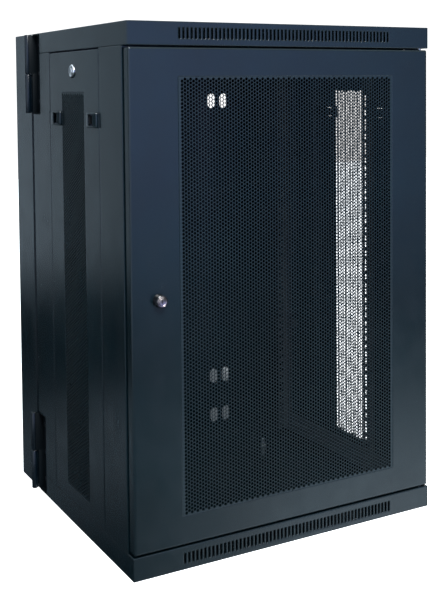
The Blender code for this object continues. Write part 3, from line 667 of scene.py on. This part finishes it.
# ---------------------------------------------------------------- carried-over CAD nodes
ROUND = {"front_door": (0.0020, 18), "wall_frame": (0.0010, 30), "top_cover": (0.0006, 30),
         "bottom_cover": (0.0006, 30), "left_side_panel": (0.0006, 30),
         "right_side_panel": (0.0006, 30), "earth_stud": (0.0004, 30)}
OWN_MATERIAL = {name: POCKET_SHADE for name in NODES if name.startswith("hinge_pocket")}
slots = {row["node"]: row["material_slot"] for row in frame["record"]["subparts"]}
for name, obj in NODES.items():
    if obj.hide_render:
        continue
    mat = OWN_MATERIAL.get(name, SLOT_MATERIAL[slots[name]])
    if not obj.material_slots:
        obj.data.materials.append(mat)
    for socket in obj.material_slots:
        socket.material = mat
    weld = obj.modifiers.new("weld", 'WELD')
    weld.merge_threshold = 0.00001
    width, angle = ROUND.get(name, (0.0004, 30))
    soften = obj.modifiers.new("soften", 'BEVEL')
    soften.width = width
    soften.segments = 2
    soften.limit_method = 'ANGLE'
    soften.angle_limit = math.radians(angle)
    soften.use_clamp_overlap = True
    soften.harden_normals = False

# ---------------------------------------------------------------- stage, light, camera
FLOOR_SIZE = 14.0
LEAN = 0.32                              # the painted shadow drifts to the right as it runs back
bm = bmesh.new()
bmesh.ops.create_grid(bm, x_segments=8, y_segments=8, size=FLOOR_SIZE / 2)
mesh = bpy.data.meshes.new("floor")
bm.to_mesh(mesh)
bm.free()
floor = bpy.data.objects.new("floor", mesh)
bpy.context.scene.collection.objects.link(floor)
floor.location.z = -0.0002
floor.visible_glossy = False
s = Shade("floor_pale")
tone = s.mix(s.noise(1.4, 4.0), grey(0.84), grey(0.88))
s.shader.inputs["Emission Color"].default_value = (1.0, 1.0, 1.0, 1.0)
# painted shadow on the floor behind the cabinet, away from the key light: a dark grey base colour and
# no glow there
spot = s.node("ShaderNodeSeparateXYZ", {"Vector": s.place})
lean = s.math("SUBTRACT", spot.outputs["X"], s.math("MULTIPLY", spot.outputs["Y"], LEAN))


def fade(value, clear, full):
    """0 at clear and 1 at full, with a smooth run between them."""
    made = s.node("ShaderNodeMapRange", {"Value": value, "From Min": clear, "From Max": full},
                  interpolation_type='SMOOTHSTEP')
    return made.outputs["Result"]


painted_shadow = s.math("MULTIPLY", fade(lean, -0.385, -0.20), fade(lean, 0.36, 0.17))
painted_shadow = s.math("MULTIPLY", painted_shadow, fade(spot.outputs["Y"], -0.20, 0.05))
painted_shadow = s.math("MULTIPLY", painted_shadow, fade(spot.outputs["Y"], 1.25, 0.78))
glow = s.math("SUBTRACT", 1.0, painted_shadow)
tone = s.mix(glow, grey(0.10), tone)
mesh.materials.append(s.set(Base_Color=tone, Roughness=0.85,
                            Emission_Strength=glow,
                            Normal=s.bump(s.noise(240.0, 3.0), 0.02, 0.0005)))


def softbox(name, place, target, size, power, color=(1.0, 1.0, 1.0)):
    """Soft square light at place, facing target."""
    data = bpy.data.lights.new(name, 'AREA')
    data.shape = 'RECTANGLE'
    data.size, data.size_y = size
    data.energy = power
    data.color = color
    lamp = bpy.data.objects.new(name, data)
    lamp.location = place
    lamp.rotation_euler = (Vector(target) - Vector(place)).to_track_quat('-Z', 'Y').to_euler()
    bpy.context.scene.collection.objects.link(lamp)
    return lamp


softbox("key", (-0.55, -2.40, 2.70), (0.0, 0.0, 0.3), (1.3, 1.3), 230.0, (0.96, 0.98, 1.0))


class Sky:
    """World colour as a sum of soft patches in elevation and azimuth, in degrees."""

    def __init__(self, world):
        self.tree = world.node_tree
        self.tree.nodes.clear()
        coords = self.tree.nodes.new("ShaderNodeTexCoord")
        way = self.link("ShaderNodeSeparateXYZ", {0: coords.outputs["Generated"]}, None)
        turn = self.link("ShaderNodeMath", {0: way["Y"], 1: way["X"]}, operation="ARCTAN2")
        rise = self.link("ShaderNodeMath", {0: way["Z"]}, operation="ARCSINE")
        self.azimuth = self.link("ShaderNodeMath", {0: turn, 1: 57.29578}, operation="MULTIPLY")
        self.elevation = self.link("ShaderNodeMath", {0: rise, 1: 57.29578}, operation="MULTIPLY")
        self.total = None

    def link(self, kind, inputs, output=0, **settings):
        made = self.tree.nodes.new(kind)
        for key, value in settings.items():
            setattr(made, key, value)
        for key, value in inputs.items():
            if isinstance(value, bpy.types.NodeSocket):
                self.tree.links.new(value, made.inputs[key])
            else:
                made.inputs[key].default_value = value
        return made.outputs if output is None else made.outputs[output]

    def add(self, color):
        if self.total is None:
            self.total = color
        else:
            self.total = self.link("ShaderNodeVectorMath", {0: self.total, 1: color},
                                   operation="ADD")

    def ramp(self, value, ends, to=(0.0, 1.0)):
        return self.link("ShaderNodeMapRange",
                         {"Value": value, "From Min": ends[0], "From Max": ends[1],
                          "To Min": to[0], "To Max": to[1]}, interpolation_type='SMOOTHSTEP')

    def patch(self, color, elevations, azimuths=None):
        """Adds color where elevation and azimuth lie in a span: (start, full, full, end)."""
        low = self.ramp(self.elevation, elevations[:2])
        high = self.ramp(self.elevation, elevations[2:], (1.0, 0.0))
        amount = self.link("ShaderNodeMath", {0: low, 1: high}, operation="MULTIPLY")
        if azimuths:
            left = self.ramp(self.azimuth, azimuths[:2])
            right = self.ramp(self.azimuth, azimuths[2:], (1.0, 0.0))
            wide = self.link("ShaderNodeMath", {0: left, 1: right}, operation="MULTIPLY")
            amount = self.link("ShaderNodeMath", {0: amount, 1: wide}, operation="MULTIPLY")
        self.add(self.link("ShaderNodeVectorMath", {0: color, "Scale": amount},
                           operation="SCALE"))


world = bpy.data.worlds.new("studio")
world.use_nodes = True
bpy.context.scene.world = world
sky = Sky(world)
# a bright band high up all round, a weaker overhead fill and a faint glow on the left
sky.patch((0.95, 1.08, 1.16), (22, 38, 66, 84))
sky.patch((0.34, 0.37, 0.40), (40, 60, 95, 99))
sky.patch((0.05, 0.06, 0.07), (-95, -94, 20, 60), (120, 150, 181, 182))
# azimuths -65 to -50 are in front of the door, to the right: the door mirrors them
sky.patch((0.09, 0.12, 0.13), (-70, -50, 24, 50), (-181, -150, -20, 20))
sky.patch((0.54, 0.67, 1.38), (-16, -2, 4, 24), (-150, -112, -66, -34))
sky.patch((1.52, 1.84, 2.12), (-60, -40, -20.5, -15.5), (-62.0, -58.0, -35, -10))
# azimuths 108 to 113 are behind the cabinet, to the left: its side mirrors them
sky.patch((0.41, 0.51, 0.60), (-11.0, -9.4, 24, 50), (60, 90, 106, 128))
sky.patch((0.26, 0.32, 0.38), (-24.5, -18.5, -17.6, -16.0), (104, 114, 130, 160))
# azimuths near 180 are to the left: only rounded upright edges mirror them
for left in ((150, 172, 181, 182), (-182, -181, -140, -104)):
    sky.patch((0.95, 1.10, 1.35), (-20, -8, 18, 36), left)
path = sky.tree.nodes.new("ShaderNodeLightPath")
lit = sky.link("ShaderNodeBackground", {"Color": sky.total, "Strength": 1.0})
clear = sky.link("ShaderNodeBackground", {"Color": (1.0, 1.0, 1.0, 1.0), "Strength": 1.18})
both = sky.link("ShaderNodeMixShader", {0: path.outputs["Is Camera Ray"], 1: lit, 2: clear})
out = sky.tree.nodes.new("ShaderNodeOutputWorld")
sky.tree.links.new(both, out.inputs["Surface"])

camera = bpy.data.cameras.new("camera")
camera.sensor_width = 36.0
camera.lens = 62.62
camera.shift_y = -0.273
camera.clip_start, camera.clip_end = 0.05, 60.0
eye = bpy.data.objects.new("camera", camera)
eye.location = (-0.952, -1.746, 0.784)
eye.rotation_euler = [math.radians(a) for a in (87.39, 0.52, -29.11)]
bpy.context.scene.collection.objects.link(eye)
bpy.context.scene.camera = eye
bpy.context.scene.view_settings.view_transform = 'Standard'
